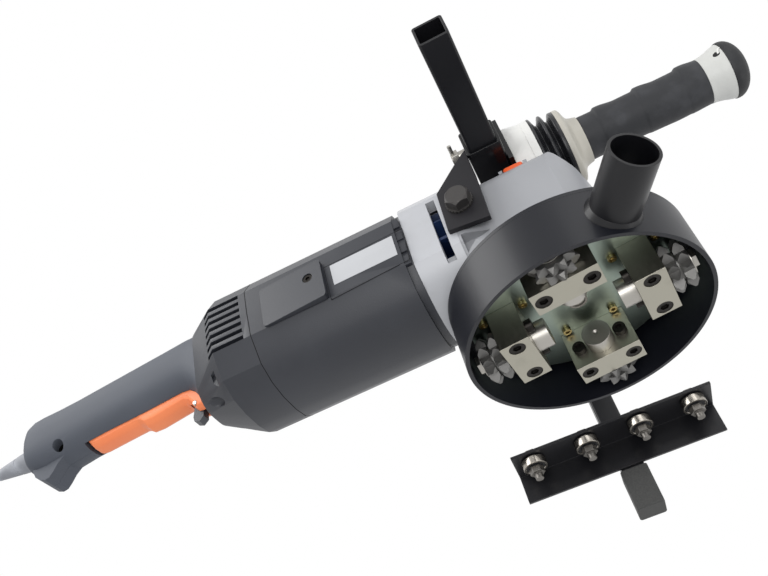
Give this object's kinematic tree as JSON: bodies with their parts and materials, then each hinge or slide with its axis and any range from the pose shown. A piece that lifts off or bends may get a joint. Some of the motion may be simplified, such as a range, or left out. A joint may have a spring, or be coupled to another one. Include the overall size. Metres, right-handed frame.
{
  "type": "electric bush hammer",
  "caption": "In-line electric bush hammer with a shrouded disc of star cutters, dust spigot, damped front handle and a sliding guide arm with bearings",
  "frame": {"origin": "on the spindle axis, in the plane of the shroud rim", "axes": "+X from the rear handle to the front handle, +Y to the guide post, +Z along the spindle away from the work"},
  "size_m": [0.9094, 0.4847, 0.2093],
  "materials": {
    "motor_housing_plastic": "moulded dark grey glass-filled plastic, fine spark texture",
    "handle_plastic": "moulded dark grey plastic",
    "black_screw": "black oxide steel screws",
    "light_paint": "light grey silk paint on a casting",
    "bearing_steel": "ground and turned steel",
    "winding_lacquer": "lacquered copper winding in a laminated core",
    "carbon": "pressed carbon",
    "black_plastic": "black moulded plastic",
    "black_lacquer": "semi-gloss black lacquer on steel, worn at the edges",
    "dark_bolt_steel": "dull steel bolts",
    "cream_plastic": "off-white moulded plastic, a little soiled",
    "black_rubber": "black moulded rubber",
    "cord_rubber": "dark grey rubber cord",
    "plated_steel": "milled steel with a dull pale plating",
    "yellow_zinc": "yellow-chromated steel",
    "cutter_steel": "sintered grey hard metal, bright at the points",
    "fan_blue": "dark blue moulded fan",
    "orange_plastic": "orange moulded plastic",
    "foot_steel": "bare grey steel tube"
  },
  "bodies": {
    "root": {"motor_housing": "motor_housing_plastic", "rear_cover": "motor_housing_plastic", "handle_left": "handle_plastic", "handle_right": "handle_plastic", "brush_cover_right": "motor_housing_plastic", "brush_cover_left": "motor_housing_plastic", "case_screws": "black_screw", "fan_housing": "light_paint", "gear_housing": "light_paint", "bearing_flange": "light_paint", "spindle_bearings": "bearing_steel", "armature_bearings": "bearing_steel", "stator": "winding_lacquer", "carbon_brushes": "carbon", "switch_block": "black_plastic", "shroud": "black_lacquer", "dust_spigot": "black_lacquer", "bracket_plate": "black_lacquer", "bracket_bolt": "dark_bolt_steel", "guide_sleeve": "black_lacquer", "handle_base": "cream_plastic", "handle_stud": "bearing_steel", "damper_bellows": "black_rubber", "handle_flange": "cream_plastic", "handle_grip": "black_rubber", "handle_ring": "cream_plastic", "handle_cap": "black_plastic", "strain_relief": "black_rubber", "cord": "cord_rubber", "cord_coil": "cord_rubber", "plug": "black_plastic", "cord_tie": "black_rubber"},
    "rotor": {"spindle": "bearing_steel", "crown_gear": "bearing_steel", "rotor_disc": "plated_steel", "cutter_blocks": "plated_steel", "cutter_shafts": "bearing_steel", "block_screws": "black_screw", "disc_screws": "yellow_zinc", "rotor_nut": "black_screw"},
    "cutter_1": {"cutter_1": "cutter_steel"},
    "cutter_2": {"cutter_2": "cutter_steel"},
    "cutter_3": {"cutter_3": "cutter_steel"},
    "cutter_4": {"cutter_4": "cutter_steel"},
    "armature": {"armature": "bearing_steel", "cooling_fan": "fan_blue", "pinion": "bearing_steel"},
    "trigger": {"trigger": "orange_plastic"},
    "lockoff_lever": {"lockoff_lever": "handle_plastic"},
    "spindle_lock": {"spindle_lock": "orange_plastic"},
    "clamp_screw": {"clamp_screw": "bearing_steel"},
    "guide_arm": {"guide_bar": "black_lacquer", "guide_post": "black_lacquer", "post_foot": "foot_steel", "bearing_rail": "black_lacquer", "rail_bolts": "dark_bolt_steel"},
    "guide_bearing_1": {"guide_bearing_1": "bearing_steel"},
    "guide_bearing_2": {"guide_bearing_2": "bearing_steel"},
    "guide_bearing_3": {"guide_bearing_3": "bearing_steel"},
    "guide_bearing_4": {"guide_bearing_4": "bearing_steel"}
  },
  "joints": [
    {"name": "rotor_spin", "type": "hinge", "parent": "root", "child": "rotor", "pos_m": [0, 0, 0.05], "axis": [0, 0, 1], "continuous": true},
    {"name": "armature_spin", "type": "hinge", "parent": "root", "child": "armature", "pos_m": [-0.14, 0, 0.108], "axis": [1, 0, 0], "continuous": true},
    {"name": "trigger_pull", "type": "hinge", "parent": "root", "child": "trigger", "pos_m": [-0.316, 0, 0.102], "axis": [0, 1, 0], "range_deg": [0, 4], "stiffness_Nm_per_rad": 1.5, "springref_deg": -2.86},
    {"name": "lockoff_push", "type": "hinge", "parent": "trigger", "child": "lockoff_lever", "pos_m": [-0.304, 0, 0.083], "axis": [0, -1, 0], "range_deg": [0, 10], "stiffness_Nm_per_rad": 0.3, "springref_deg": -2.86},
    {"name": "spindle_lock_press", "type": "slide", "parent": "root", "child": "spindle_lock", "axis": [0, 0, -1], "range_m": [0, 0.003], "stiffness_N_per_m": 800, "springref_m": -0.001},
    {"name": "guide_arm_slide", "type": "slide", "parent": "root", "child": "guide_arm", "axis": [0, 1, 0], "range_m": [-0.14, 0.09]},
    {"name": "clamp_screw_back_off", "type": "slide", "parent": "root", "child": "clamp_screw", "axis": [-1, 0, 0], "range_m": [0, 0.004]},
    {"name": "cutter_1_spin", "type": "hinge", "parent": "rotor", "child": "cutter_1", "pos_m": [0.06974, -0.00598, 0.0155], "axis": [0.9963, -0.0854, 0], "continuous": true},
    {"name": "cutter_2_spin", "type": "hinge", "parent": "rotor", "child": "cutter_2", "pos_m": [0.00598, 0.06974, 0.0155], "axis": [0.0854, 0.9963, 0], "continuous": true},
    {"name": "cutter_3_spin", "type": "hinge", "parent": "rotor", "child": "cutter_3", "pos_m": [-0.06974, 0.00598, 0.0155], "axis": [-0.9963, 0.0854, 0], "continuous": true},
    {"name": "cutter_4_spin", "type": "hinge", "parent": "rotor", "child": "cutter_4", "pos_m": [-0.00598, -0.06974, 0.0155], "axis": [-0.0854, -0.9963, 0], "continuous": true},
    {"name": "guide_bearing_1_spin", "type": "hinge", "parent": "guide_arm", "child": "guide_bearing_1", "pos_m": [-0.09689, 0.26337, 0.0649], "axis": [0, 0, 1], "continuous": true},
    {"name": "guide_bearing_2_spin", "type": "hinge", "parent": "guide_arm", "child": "guide_bearing_2", "pos_m": [-0.04321, 0.26694, 0.0649], "axis": [0, 0, 1], "continuous": true},
    {"name": "guide_bearing_3_spin", "type": "hinge", "parent": "guide_arm", "child": "guide_bearing_3", "pos_m": [0.01047, 0.27051, 0.0649], "axis": [0, 0, 1], "continuous": true},
    {"name": "guide_bearing_4_spin", "type": "hinge", "parent": "guide_arm", "child": "guide_bearing_4", "pos_m": [0.06415, 0.27407, 0.0649], "axis": [0, 0, 1], "continuous": true}
  ],
  "couplings": [
    {"joint": "armature_spin", "follows": "rotor_spin", "ratio": -3.5455}
  ]
}
